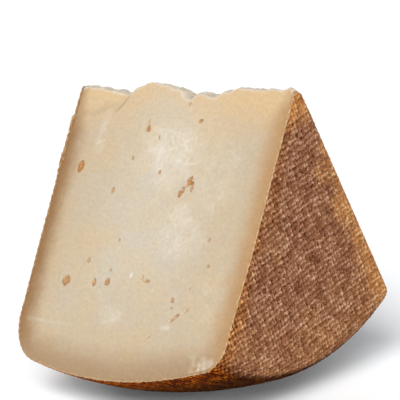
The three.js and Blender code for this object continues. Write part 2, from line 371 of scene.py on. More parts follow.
@dataclass(frozen=True)
class Wheel:
    """The whole drum-shaped cheese before it was cut."""

    belly_radius: float = 100.0
    height: float = 87.0
    rim_bulge: float = 7.4
    rim_taper: float = 2.1
    face_dome: float = 1.25
    near: Shoulder = Shoulder(1, 5.8, 5.8)
    far: Shoulder = Shoulder(-1, 9.7, 11.7)
    axis_height: float = 99.4
    half_angle: float = math.radians(59.5) / 2
    roundness: float = 0.5523
    curve_points: int = 200
    blend_reach: float = 3.0
    depth_face_steps: int = 50
    depth_step: float = 0.8

    @property
    def half(self) -> float:
        """Half of the wheel's height."""
        return self.height / 2

    @property
    def edge_radius(self) -> float:
        """The rim's radius at its edges, before the taper."""
        return self.belly_radius - self.rim_bulge

    def rim_radius(self, x: np.ndarray | float) -> np.ndarray | float:
        """The rim's radius at places along the axis."""
        u = x / self.half
        return self.edge_radius + self.rim_bulge * (1 - u * u) - self.rim_taper * u

    def face_place(self, side: int, radius: np.ndarray | float) -> np.ndarray | float:
        """A flat face's place along the axis at a radius."""
        return side * (self.half + self.face_dome * (1 - (radius / self.edge_radius) ** 2))

    def face_end(self, shoulder: Shoulder) -> float:
        """The radius at which a flat face turns into its shoulder."""
        return self.rim_radius(shoulder.side * self.half) - shoulder.drop

    def shoulder_curve(self, shoulder: Shoulder) -> np.ndarray:
        """Points (x, radius) along a shoulder, from the face to the rim."""
        side, radius = shoulder.side, self.face_end(shoulder)
        start = np.array([self.face_place(side, radius), radius])
        end_x = side * (self.half - shoulder.inset)
        end = np.array([end_x, self.rim_radius(end_x)])
        outward = np.array([-2 * side * self.face_dome * radius / self.edge_radius ** 2, 1.0])
        slope = (-2 * self.rim_bulge * end_x / self.half - self.rim_taper) / self.half
        along = np.array([side, side * slope])
        corner = start + outward * np.linalg.solve(np.stack([outward, -along], 1), end - start)[0]
        first = start + (corner - start) * self.roundness
        second = end + (corner - end) * self.roundness
        t = np.linspace(0, 1, self.curve_points)[:, None]
        back = 1 - t
        return back ** 3 * start + 3 * back ** 2 * t * first + 3 * back * t * t * second + t ** 3 * end

    def outline(self, face_steps: int, step: float) -> tuple[np.ndarray, np.ndarray]:
        """Half of the wheel's section, from the near face's centre over the rim to the far face's.

        Args:
            face_steps: how many steps each flat face has.
            step: length of a step over the shoulders and the rim.

        Returns:
            The points (x, radius), and the outward direction at each.
        """
        near_face = np.linspace(0, self.face_end(self.near), face_steps + 1)[:-1]
        far_face = np.linspace(self.face_end(self.far), 0, face_steps + 1)[1:]
        near_curve, far_curve = self.shoulder_curve(self.near), self.shoulder_curve(self.far)[::-1]
        rim_x = np.linspace(near_curve[-1, 0], far_curve[0, 0], self.curve_points)[1:-1]
        curve = np.vstack([near_curve, np.stack([rim_x, self.rim_radius(rim_x)], 1), far_curve])
        length = walked(curve)
        even = np.linspace(0, length[-1], round(length[-1] / step) + 1)
        points = np.vstack([
            np.stack([self.face_place(1, near_face), near_face], 1),
            np.stack([np.interp(even, length, curve[:, k]) for k in (0, 1)], 1),
            np.stack([self.face_place(-1, far_face), far_face], 1),
        ])
        tangent = np.gradient(points, axis=0)
        tangent /= np.linalg.norm(tangent, axis=1)[:, None]
        return points, np.stack([tangent[:, 1], -tangent[:, 0]], 1)

    def inside(self, outline: np.ndarray, outward: np.ndarray, depth: float) -> np.ndarray:
        """The outline moved in by a depth, still ending on the axis."""
        moved = outline - outward * depth
        moved[[0, -1], 1] = 0.0
        return moved

    def radius(self, at: np.ndarray) -> np.ndarray:
        """How far points of the wedge lie from the wheel's axis."""
        return np.hypot(at[:, 1], self.axis_height - at[:, 2])

    def angle(self, at: np.ndarray) -> np.ndarray:
        """The turn of points round the wheel's axis, from the middle of the wedge."""
        return np.arctan2(at[:, 1], self.axis_height - at[:, 2])

    def depth(self, at: np.ndarray) -> np.ndarray:
        """How far points lie under the rind's surface.

        Args:
            at: n by 3 points of the wedge.

        Returns:
            The distance to the nearest place of the section's outline, in millimetres.
        """
        x, radius = at[:, 0], self.radius(at)
        line, _ = self.outline(self.depth_face_steps, self.depth_step)
        found = np.full(len(x), np.inf)
        for start, along in zip(line, np.diff(line, axis=0)):
            t = ((x - start[0]) * along[0] + (radius - start[1]) * along[1]) / (along @ along)
            t = np.clip(t, 0, 1)
            gap = np.hypot(x - start[0] - t * along[0], radius - start[1] - t * along[1])
            np.minimum(found, gap, out=found)
        return found

    def nearness(self, at: np.ndarray) -> np.ndarray:
        """How far each of the near face, the far face and the rim is the nearest, as n by 3 shares."""
        x, radius = at[:, 0], self.radius(at)
        gaps = (self.face_place(1, radius) - x, x - self.face_place(-1, radius), self.rim_radius(x) - radius)
        shares = np.exp(-np.stack(gaps, 1) / self.blend_reach)
        return shares / shares.sum(1)[:, None]

    def reach(self, shoulder: Shoulder, x: np.ndarray, radius: np.ndarray) -> np.ndarray:
        """The way over the rind from the axis, across a flat face and its shoulder onto the rim.

        Args:
            shoulder: the shoulder that the way crosses.
            x: places along the axis.
            radius: distances from the axis.

        Returns:
            The length of the way to each place, in millimetres.
        """
        curve, side = self.shoulder_curve(shoulder), shoulder.side
        centre_x, centre_radius = curve[-1, 0], curve[0, 1]
        turns = np.arctan2(curve[:, 1] - centre_radius, (curve[:, 0] - centre_x) * side)
        here = np.arctan2(radius - centre_radius, (x - centre_x) * side)
        round_part = np.interp(here, turns, walked(curve))
        return np.minimum(radius, centre_radius) + round_part + np.maximum((centre_x - x) * side, 0)

    def outward(self, at: np.ndarray) -> np.ndarray:
        """The direction out of the rind at points on it, square to the wheel's surface."""
        x, radius, angle = at[:, 0], self.radius(at), self.angle(at)
        turn = np.full(len(x), math.pi / 2)
        for shoulder in (self.near, self.far):
            curve, side = self.shoulder_curve(shoulder), shoulder.side
            here = np.arctan2(radius - curve[0, 1], (x - curve[-1, 0]) * side)
            turn = np.where((x - curve[-1, 0]) * side > 0, np.clip(here, 0, math.pi / 2), turn)
        up = np.sin(turn)
        return np.stack([np.sign(x) * np.cos(turn), up * np.sin(angle), -up * np.cos(angle)], 1)


@dataclass(frozen=True)
class Flake:
    """A thin flake that broke off a cut beside the crest."""

    cut: Cut
    step: float
    slant: float
    down: float
    depth: float
    edge: float
    length: float
    fade: float = 9.0


@dataclass(frozen=True)
class Sector:
    """The wedge cut from the wheel: where its points are, and the relief of its two cuts."""

    wheel: Wheel
    wave_height: float = 0.3
    wave_size: float = 26.0
    wave_seed: int = 5
    wave_reach: float = math.radians(6)
    crest_band: float = 16.0
    flake_start: float = 4.0
    flake_lumps: Layers = ((2, 6, 51),)
    flakes: tuple[Flake, ...] = (
        Flake(Cut.SHOWN, -19.3, -0.6, 12.5, 1.2, 2.0, 20, 4),
        Flake(Cut.HIDDEN, -8, 0.3, 22, 0.8, 6, 24),
    )

    def relief(self, cut: Cut, x: np.ndarray, radius: np.ndarray) -> np.ndarray:
        """How far a cut stands proud of its plane, in millimetres."""
        waves = self.wave_height * lumps(x, radius, self.wave_size, self.wave_seed + cut.value)
        total = waves * smoothstep(radius, 0, self.crest_band)
        for flake in (one for one in self.flakes if one.cut is cut):
            past = flake.step + flake.slant * radius - x
            rise = smoothstep(past, -flake.edge / 2, flake.edge / 2)
            share = rise * (1 - smoothstep(past, 0, flake.length))
            left = layered(x, radius, self.flake_lumps, flake.down - radius)
            share = share * smoothstep(left, 0, flake.fade)
            total = total - flake.depth * share * smoothstep(radius, 0, self.flake_start)
        return total

    def place(self, x: np.ndarray, radius: np.ndarray, angle: np.ndarray | float) -> np.ndarray:
        """Points of the wedge from their place in the wheel's section and their turn.

        Args:
            x: places along the axis.
            radius: distances from the axis.
            angle: turns from the middle of the wedge, in radians.

        Returns:
            Points as n by 3, in millimetres, none of them below the floor.
        """
        push = np.zeros(len(x))
        for cut in Cut:
            from_cut = self.wheel.half_angle - cut.value * angle
            push += cut.value * (1 - smoothstep(from_cut, 0, self.wave_reach)) * self.relief(cut, x, radius)
        y = radius * np.sin(angle) + push * np.cos(angle)
        z = self.wheel.axis_height - radius * np.cos(angle) + push * np.sin(angle)
        return np.stack([x, y, np.maximum(z, 0)], 1)

    def sunk(self, cut: Cut, at: np.ndarray) -> np.ndarray:
        """How far points lie below the surface of a cut, in millimetres."""
        radius, off = self.wheel.radius(at), self.wheel.half_angle - cut.value * self.wheel.angle(at)
        return radius * np.sin(np.clip(off, -1, 1)) + self.relief(cut, at[:, 0], radius)


@dataclass(frozen=True)
class Crest:
    """The crumbled top, where the tip of the wedge broke away."""

    wheel: Wheel
    drops: tuple[tuple[float, float], ...] = (
        (-46, 3.4), (-38, 3.1), (-31.5, 3.9), (-23, 4.7), (-19.5, 2.6), (-14, 0.9), (-9, 1.3),
        (-3.5, 2.5), (3.8, 4.6), (7, 3.5), (13.4, 3.8), (18, 2.5), (23, 1.6), (34, 1.6),
        (39, 1.9), (42, 1), (46, 3.2),
    )
    clods: Layers = ((0.5, 3.2, 2),)
    clod_start: float = 1.5
    crumbs: Layers = ((0.22, 1.3, 8), (0.12, 0.7, 9))
    rounding: float = 0.09
    half_width: float = 9.0
    margin: float = 12.0
    step: float = 0.4

    def drop(self, x: np.ndarray) -> np.ndarray:
        """How far the crest lies below the wheel's axis."""
        places, depths = np.array(self.drops).T
        left = np.clip(np.searchsorted(places, x, side="right") - 1, 0, len(places) - 2)
        share = smoothstep((x - places[left]) / (places[left + 1] - places[left]), 0, 1)
        return depths[left] * (1 - share) + depths[left + 1] * share

    def height(self, x: np.ndarray, y: np.ndarray) -> np.ndarray:
        """The broken surface's height above the floor."""
        rough = layered(x, y, self.clods) * smoothstep(np.abs(y), 0, self.clod_start)
        rough = layered(x, y, self.crumbs, rough)
        return self.wheel.axis_height - self.drop(x) - self.rounding * y * y + rough

    def waste(self) -> bpy.types.Object:
        """What crumbled off: a block whose underside is the broken surface."""
        half_length = self.wheel.half + self.margin
        x = np.linspace(-half_length, half_length, round(2 * half_length / self.step) + 1)
        y = np.linspace(-self.half_width, self.half_width, round(2 * self.half_width / self.step) + 1)
        xx, yy = np.meshgrid(x, y, indexing="ij")
        top = np.full_like(xx, self.wheel.axis_height + self.margin)
        points = np.vstack([np.stack([xx, yy, z], 2).reshape(-1, 3) for z in (self.height(xx, yy), top)])
        under = np.arange(xx.size).reshape(xx.shape)
        over = under + xx.size
        walls = [(under[0], over[0]), (over[-1], under[-1])]
        walls += [(over[:, 0], under[:, 0]), (under[:, -1], over[:, -1])]
        faces = [grid_faces(under)[:, ::-1], grid_faces(over)]
        return new_piece("crest_waste", points, faces + [grid_faces(np.stack(wall)) for wall in walls])


@dataclass(frozen=True)
class Eye:
    """One hollow in a cut: an eye, a crack or a crumbled corner."""

    cut: Cut
    along: float
    down: float
    wide: float
    high: float
    turn: float = 0.0
    deep: float = 0.0
    lift: float = 0.0


@dataclass(frozen=True)
class Eyes:
    """The eyes and cracks that the knife opened, cut out by one node tree."""

    sector: Sector
    rise: float = 0.1
    depth_share: float = 0.38
    open_share: float = 0.88
    roughness: float = 0.5
    lump: float = 1.1
    detail: int = 4
    seed: float = 3.0
    # Rows of along, down, wide, high, turn and deep, as an Eye has them
    shown: tuple[tuple[float, ...], ...] = (
        (-35.2, 31.3, 3.5, 4.8, 10), (-10.4, 16.8, 2.3, 3.2, -8, 0.95), (-10.9, 14.4, 1.2, 2.8, -4),
        (-27.9, 69.9, 3.9, 4.3, 20, 1.15), (-15.7, 69.3, 2.2, 3), (-10.2, 68.7, 2.6, 2.9, 35),
        (10.6, 13.3, 2.4, 1.5, -20, 0.7), (-18.4, 38.4, 1.7, 2.8, 15), (-1, 31.1, 1.8, 1.8, 0, 0.75),
        (12.4, 33.6, 2.1, 4.9, 28, 1.05), (14.1, 35.4, 1.5, 3.8, 8, 0.8), (13.5, 33.9, 2.4, 1.7, 0, 1),
        (10.2, 37.2, 2.2, 4.8, 26, 1.05), (5.7, 66.8, 4, 1.4, -4), (3.9, 65.9, 1.2, 2, -20),
        (20.6, 77.2, 5.4, 1.5, -40), (-13.7, 27.2, 1.6, 1.5), (26.3, 51.5, 1.7, 1.6),
        (28.6, 59.7, 1.6, 1.5), (-10, 54.7, 1.5, 1.6), (-20.4, 62.4, 1.7, 2.2), (-10.2, 64.6, 1.5, 1.6, 10),
        (18.1, 71.7, 1.7, 2.5, -25), (18.5, 74.2, 1.1, 1), (24.7, 74.3, 2.6, 1.3, -45),
        (12.5, 84.2, 2.6, 1.2, -40), (4.2, 7.8, 1.4, 1.7), (-5.1, 19.7, 1.1, 2.2, -25),
        (23.6, 67.4, 1.2, 1.3),
    )
    hidden: tuple[tuple[float, ...], ...] = (
        (24, 28, 3.6, 4.4, 12), (-12, 22, 2.4, 3.4, -20), (-24, 58, 3.2, 3.6), (2, 47, 4.4, 1.7, 32),
        (14, 72, 2.4, 2.6, 15), (19, 69, 1.8, 2), (-31, 33, 1.9, 2.2, 40), (8, 31, 1.3, 1.1),
        (-5, 66, 1.2, 1), (30, 55, 1.4, 1.2), (-17, 79, 1.3, 1),
    )
    chips: tuple[Eye, ...] = (Eye(Cut.SHOWN, 37.5, 91.6, 14, 6.2, 14, 1.5, 0.85),)

    @property
    def hollows(self) -> tuple[Eye, ...]:
        """The eyes and cracks of both cuts."""
        rows = ((Cut.SHOWN, self.shown), (Cut.HIDDEN, self.hidden))
        return tuple(Eye(cut, *sizes) for cut, eyes in rows for sizes in eyes)

    def seats(self, hollows: tuple[Eye, ...]) -> bpy.types.Object:
        """A cloud of points, one for each hollow, with its size and turn as attributes."""
        centres, sizes, turns = [], [], []
        for eye in hollows:
            angle = eye.cut.value * self.sector.wheel.half_angle
            lean = Matrix.Rotation(angle, 3, "X")
            on_cut = self.sector.place(np.array([eye.along]), np.array([eye.down]), angle)[0]
            centres.append(on_cut + np.array(lean @ Vector((0, eye.cut.value * (self.rise + eye.lift), 0))))
            depth = eye.deep or self.depth_share * min(eye.wide, eye.high)
            sizes.append((eye.wide * self.open_share / 2, depth, eye.high * self.open_share / 2))
            turns.append((lean @ Matrix.Rotation(math.radians(eye.turn), 3, "Y")).to_euler("XYZ")[:])
        mesh = bpy.data.meshes.new("eye_seats")
        mesh.from_pydata((np.array(centres) * MM).tolist(), [], [])
        store(mesh, "half_size", np.array(sizes) * MM)
        store(mesh, "turn", np.array(turns))
        return add_object("eye_seats", mesh)

    def tree(self) -> bpy.types.NodeTree:
        """The node tree that puts a rough ball at each seat and cuts them all out."""
        board, entry = new_shaper("eye_hollows", {
            "Seats": "Object", "Roughness": "Float", "Lump size": "Float", "Seed": "Float",
            "Finish": "Material"})
        seats = board.add("GeometryNodeObjectInfo", {"Object": entry["Seats"]})
        size, turn = board.read("FLOAT_VECTOR", "half_size", "turn")
        rotation = board.add("FunctionNodeEulerToRotation", {0: turn})
        ball = board.add("GeometryNodeMeshIcoSphere", {"Radius": 1.0, "Subdivisions": self.detail})
        seated = board.add("GeometryNodeInstanceOnPoints", {
            "Points": seats.outputs["Geometry"], "Instance": ball.outputs["Mesh"],
            "Rotation": rotation.outputs[0], "Scale": size})
        real = board.add("GeometryNodeRealizeInstances", {0: seated.outputs[0]})
        noise = board.add("ShaderNodeTexNoise", {
            "Vector": board.add("GeometryNodeInputPosition").outputs[0], "W": entry["Seed"],
            "Scale": board.math("DIVIDE", 1.0, entry["Lump size"]), "Detail": 2.0}, noise_dimensions="4D")
        amount = board.math("MULTIPLY", board.math("SUBTRACT", noise.outputs[0], 0.5), entry["Roughness"])
        far = board.math("MULTIPLY", amount, board.vector("LENGTH", size))
        offset = board.scale(board.add("GeometryNodeInputNormal").outputs[0], far)
        joined = board.add("GeometryNodeMeshBoolean", {
            "Mesh 2": board.moved(real.outputs[0], "Offset", offset), "Self Intersection": True,
        }, operation="UNION", solver="EXACT")
        cut = board.add("GeometryNodeMeshBoolean", {
            "Mesh 1": entry["Geometry"], "Mesh 2": joined.outputs[0],
        }, operation="DIFFERENCE", solver="MANIFOLD")
        board.dress(cut.outputs[0], entry["Finish"])
        return board.tree

    def open(self, obj: bpy.types.Object, hollows: tuple[Eye, ...], finish: bpy.types.Material) -> None:
        """Cuts hollows out of a piece and dresses it."""
        seats = self.seats(hollows)
        shape(obj, self.tree(), {
            "Seats": seats, "Roughness": self.roughness, "Lump size": self.lump * MM,
            "Seed": self.seed, "Finish": finish})
        bpy.data.objects.remove(seats)


@dataclass(frozen=True)
class Cloth:
    """The coarse plain-woven cloth that the wheel was pressed in, known by the marks it left."""

    across: tuple[float, float] = (1.472, 0.320)
    down: tuple[float, float] = (0.689, -1.740)
    row_press: float = 0.8
    column_press: float = 0.5
    over_under: float = 0.4
    wander: float = 1.25
    wander_size: float = 1.8
    # How the cloth lies askew, where the heights are in threads
    pulls: Layers = ((0.45, 13.0, 21), (0.14, 4.0, 25))

    def counts(self, y: np.ndarray, z: np.ndarray) -> np.ndarray:
        """Threads counted across and down the cloth at places on it.

        Args:
            y: places across, in millimetres.
            z: places up, in millimetres.

        Returns:
            Counts as n by 2, where whole numbers are the holes between threads.
        """
        counts = np.linalg.solve(np.array([self.across, self.down]).T, np.stack([y, z])).T
        for pull, size, seed in self.pulls:
            counts[:, 0] += pull * lumps(y, z, size, seed)
            counts[:, 1] += pull * lumps(y, z, size, seed + 1)
        return counts

    def height(self, board: Board, counts: Socket, spot: Socket) -> Socket:
        """Builds the imprint from thread counts, in a material or a geometry tree.

        Args:
            board: the tree to add to.
            counts: the counts as a vector.
            spot: the place in metres, by which the threads wander a little.

        Returns:
            A height of 1 where the paste rose through a hole, and 0 under crossing threads.
        """
        noise = board.add("ShaderNodeTexNoise", {"Vector": spot, "Scale": 1 / (self.wander_size * MM)})
        wandering = board.vector("MULTIPLY_ADD", noise.outputs["Color"], (self.wander,) * 3, counts)
        sines = board.vector("SINE", board.scale(wandering, math.pi))
        sine, square = board.parts(sines), board.parts(board.vector("MULTIPLY", sines, sines))
        column = board.math("MULTIPLY", square[0], self.column_press)
        both, apart = (
            board.math("MULTIPLY_ADD", square[1], sign * self.row_press, column) for sign in (1, -1))
        over = board.math("MULTIPLY", board.math("MULTIPLY", sine[0], sine[1]), self.over_under)
        press = board.math("MULTIPLY_ADD", over, apart, both)
        return board.math("MULTIPLY_ADD", press, -1 / (self.row_press + self.column_press), 1.0)


@dataclass(frozen=True)
class Bands:
    """The darker bands under the rind, each with its own colour: paste that dried there, and at the far face
    painted shade too.
    """

    near: str = "#997853"
    # The far band is drier paste darkened further with painted shade
    far: str = "#7d5c3a"
    rim: str = "#8d7558"
    widths: tuple[float, float, float] = (9.5, 10.0, 13.0)

    def colour(self, board: Board) -> tuple[Socket, Socket, Socket]:
        """Builds the colour of the nearest band.

        Args:
            board: the material's tree to add to.

        Returns:
            The band's colour, its width in millimetres, and the near face's share in it.
        """
        nearest = board.add("ShaderNodeAttribute", attribute_name="nearest_rind").outputs["Vector"]
        on_near, on_far, _ = board.parts(nearest)
        beside = board.mix(on_near, linear(self.rim), linear(self.near))
        beside = board.mix(on_far, beside, linear(self.far))
        return beside, board.vector("DOT_PRODUCT", nearest, self.widths), on_near


@dataclass(frozen=True)
class PasteFinish:
    """Pressed goat's curd aged to a firm ivory paste: satin, a little moist, let through by light.

    It yellows and browns towards the rind, most of all towards the far face, where painted shade
    darkens it too, and its middle has pale streaks from the knife, partly painted sheen.
    """

    bands: Bands
    core: str = "#a99f8f"
    warm: str = "#ae9d82"
    dry: str = "#9d8664"
    crest: str = "#b69a72"
    # Pale knife streaks and the lines in them, partly painted sheen
    smear: str = "#b7ae9f"
    scratch_and_sheen: str = "#c7c1b6"
    # The eyes' own darker paste, which painted shade deepens where they sink
    hollow: str = "#956a37"
    chalk: str = "#b6a997"
    waver: Pattern = (5, 3.0)
    cloud: Pattern = (14, 4.0)
    grain: Pattern = (1.1, 3.0)
    crumb: Pattern = (0.8, 5.0)
    fold: Pattern = (9, 2.0)
    # What the patterns, and the depth under the rind in millimetres, turn into
    scratch_and_sheen_lines: Span = Span(0.03, 0.0, 0.0, 0.5)
    shift: Span = Span(0.3, 0.7, -0.9, 0.9)
    warming: Span = Span(0.4, 0.65, 0.0, 0.8)
    drying: Span = Span(40.0, 6.0, 0.0, 0.52)
    swirl: Span = Span(0.35, 0.6, 0.25, 1.0)
    speckle: Span = Span(0.3, 0.7, 0.93, 1.07)
    crumbling: Span = Span(0.0, 1.0, 0.25, 0.8)
    # What is left of the bands' width and strength at the crest, and where they start and are full
    faded_width: float = 0.5
    faded_strength: float = 0.62
    band_reach: Reach = (1.0, 0.08)

    def material(self) -> bpy.types.Material:
        """Builds the paste's material."""
        made, board, spot = new_shader("aged_goat_paste")
        depth, hollow, broken, crest, faded, smear = board.kept(
            "under_rind", "hollow", "broken", "crest", "faded", "smear")
        waver, cloud, grain, crumb = (
            board.noise(spot, *pattern) for pattern in (self.waver, self.cloud, self.grain, self.crumb))
        size, detail = self.fold
        fold = board.add("ShaderNodeTexNoise", {
            "Vector": spot, "Scale": 1 / (size * MM), "Detail": detail, "Distortion": 1.0})
        beside_fold = board.math("ABSOLUTE", board.math("SUBTRACT", fold.outputs[0], 0.5))
        # Pale knife streaks and their lines, partly painted sheen
        scratches_and_sheen = board.math("MULTIPLY", smear, board.spread(beside_fold, self.scratch_and_sheen_lines))
        smear_and_sheen_share = board.math("MULTIPLY", smear, board.spread(waver, self.swirl))
        beside, width, _ = self.bands.colour(board)
        narrower = board.spread(faded, Span(0.0, 1.0, 1.0, self.faded_width))
        strength = board.spread(faded, Span(0.0, 1.0, 1.0, self.faded_strength))
        wavy = board.math("ADD", depth, board.spread(waver, self.shift))
        share = board.math("DIVIDE", wavy, board.math("MULTIPLY", width, narrower))
        band = board.spread(share, Span(*self.band_reach, 0.0, strength), "SMOOTHSTEP")
        coloured = linear(self.core)
        for factor, colour in (
            (board.spread(cloud, self.warming), linear(self.warm)),
            (board.spread(depth, self.drying), linear(self.dry)),
            (crest, linear(self.crest)), (smear_and_sheen_share, linear(self.smear)),
            (scratches_and_sheen, linear(self.scratch_and_sheen)), (band, beside),
            (hollow, linear(self.hollow)), (broken, linear(self.chalk)),
        ):
            coloured = board.mix(factor, coloured, colour)
        board.surface(crumb, strength=board.spread(broken, self.crumbling), distance=0.4, inputs={
            "Base Color": board.scale(coloured, board.spread(grain, self.speckle)), "Roughness": 0.5,
            "IOR": 1.45, "Subsurface Weight": 0.3, "Subsurface Radius": (1.0, 0.6, 0.35),
            "Subsurface Scale": 2.0 * MM})
        return made


@dataclass(frozen=True)
class RindFinish:
    """A washed and dried cheese rind: matt brown, darkest where the threads pressed it, with painted shade on
    its rim.
    """

    cloth: Cloth
    bands: Bands
    light_edge: str = "#ab8f70"
    # The skin's colours from the deepest pit to the highest tip, and where each one lies between
    shades: tuple[tuple[float, str], ...] = (
        (0.05, "#34180b"), (0.35, "#6c432c"), (0.7, "#90664b"), (1.0, "#b1947b"))
    # What the skin's colour is multiplied by where it is rubbed and where its foot is painted lighter, beside
    # the cut, and under the rim, whose painted shade follows the dark and the light of its weave
    wear_and_foot_light_gain: tuple[float, ...] = (1.58, 1.66, 1.22, 1.0)
    cut_gain: tuple[float, ...] = (1.12, 1.0, 0.72, 1.0)
    rim_shade_dark: tuple[float, ...] = (0.068, 0.0185, 0.0, 1.0)
    rim_shade_light: tuple[float, ...] = (0.54, 0.26, 0.016, 1.0)
    grit: Pattern = (0.4, 2.0)
    fleck: Pattern = (1.1, 2.0)
    blotch: Pattern = (5, 2.0)
    patch: Pattern = (14, 3.0)
    # How the streaks along the rows and the columns of threads are stretched
    rows: tuple[float, float, float] = (0.13, 1.0, 1.0)
    columns: tuple[float, float, float] = (1.0, 0.2, 1.0)
    # How much the grit, the flecks, the blotches, the rows and the columns add to the tone
    amounts: tuple[float, ...] = (1.6, 0.8, 0.25, 0.4, 0.3)
    # How deep each thread crossing is pressed, and what is added to that and to the tone beside the cut
    crossing: Span = Span(0.0, 1.0, 0.15, 0.85)
    deeper_at_cut: float = 0.2
    darker_at_cut: float = -0.17
    # How far the tone spreads over the colours, and how far rubbing and the painted foot light draw it to a
    # middle one
    shading: Span = Span(1.35, 2.55)
    wear_and_foot_light_weight: float = 0.8
    wear_and_foot_light_span: Span = Span(0.58, 1.3)
    wear_and_foot_light_share: float = 0.25
    wear_and_foot_light_middle: float = 0.55
    # Painted shade on the rim: how much of its light is left, from beside the shown cut to away from it
    rim_shade_dimming: Span = Span(0.0, 1.0, 2.2, 0.45)
    # Where the edge of the rind, frayed by flecks, turns into the band, and how light that edge is
    fray: float = 4.0
    inner: Span = Span(2.1, 2.6)
    paleness: Span = Span(0.0, 1.0, 0.65, 0.0)

    def material(self) -> bpy.types.Material:
        """Builds the rind's material."""
        made, board, spot = new_shader("cloth_marked_rind")
        counts = board.add("ShaderNodeUVMap", uv_map="cloth").outputs["UV"]
        skin, worn, depth, under, sheltered, beside_cut, fringe = board.kept(
            "skin", "worn", "under_rind", "rim", "sheltered", "beside_cut", "fringe")
        cell = board.vector("FLOOR", board.vector("ADD", counts, (0.5, 0.5, 0.5)))
        chance = board.add("ShaderNodeTexWhiteNoise", {"Vector": cell}).outputs[0]
        crossing = board.spread(chance, self.crossing)
        pressed = board.math("MULTIPLY_ADD", beside_cut, self.deeper_at_cut, crossing)
        tone = board.math("MULTIPLY", self.cloth.height(board, counts, spot), pressed)
        tone = board.math("MULTIPLY_ADD", beside_cut, self.darker_at_cut, tone)
        grit, fleck, blotch, patch = (
            board.noise(spot, *pattern) for pattern in (self.grit, self.fleck, self.blotch, self.patch))
        rows, columns = (
            board.add("ShaderNodeMapping", {"Vector": counts, "Scale": stretch}).outputs[0]
            for stretch in (self.rows, self.columns)
        )
        rows, columns = (board.noise(way, 1.0, 1.0, unit=1.0) for way in (rows, columns))
        for noise, amount in zip((grit, fleck, blotch, rows, columns), self.amounts):
            tone = board.math("MULTIPLY_ADD", noise, amount, tone)
        # Rubbed patches and the painted foot light warm the skin
        warm = board.spread(board.math("MULTIPLY_ADD", worn, self.wear_and_foot_light_weight, patch), self.wear_and_foot_light_span)
        shade = board.spread(tone, self.shading)
        share = board.math("MULTIPLY", warm, self.wear_and_foot_light_share)
        calmer = board.add("ShaderNodeMix", {0: share, 2: shade, 3: self.wear_and_foot_light_middle})
        ramp = board.add("ShaderNodeValToRGB", {"Fac": calmer.outputs[0]})
        stops = ramp.color_ramp.elements
        first, *between, last = self.shades
        for stop, (place, colour) in zip(stops, (first, last)):
            stop.position, stop.color = place, linear(colour)
        for place, colour in between:
            stops.new(place).color = linear(colour)
        skinned = ramp.outputs[0]
        # Painted shade under the rim: darker at the weave's dark, lighter at its light, deepening away from
        # the shown cut
        painted_rim_shade = board.mix(shade, self.rim_shade_dark, self.rim_shade_light)
        painted_rim_shade = board.scale(painted_rim_shade, board.spread(sheltered, self.rim_shade_dimming))
        # Rubbing with the painted foot light, the cut's edge, and the rim's painted shade each multiply the
        # skin's colour
        for factor, gain in ((warm, self.wear_and_foot_light_gain), (beside_cut, self.cut_gain), (under, painted_rim_shade)):
            skinned = board.mix(factor, skinned, gain, "MULTIPLY")
        band_colour, _, on_near = self.bands.colour(board)
        inner = board.spread(board.math("MULTIPLY_ADD", fleck, self.fray, depth), self.inner)
        lightest = board.spread(board.math("MAXIMUM", on_near, fringe), self.paleness)
        strip = board.mix(board.math("MAXIMUM", inner, lightest), linear(self.light_edge), band_colour)
        board.surface(tone, strength=0.5, distance=0.3, inputs={
            "Base Color": board.mix(skin, strip, skinned), "Roughness": 0.8, "Specular IOR Level": 0.02})
        return made


@dataclass(frozen=True)
class Division:
    """How finely the paste and the rind are divided, so that they meet point to point."""

    face_steps: int = 200
    rim_step: float = 0.47
    turn_steps: int = 8
    rind_depth: float = 1.1


@dataclass(frozen=True)
class SmearAndSheen:
    """A pale patch on the shown cut: a streak from the knife, partly painted sheen."""

    along: float
    down: float
    wide: float
    high: float
    strength: float


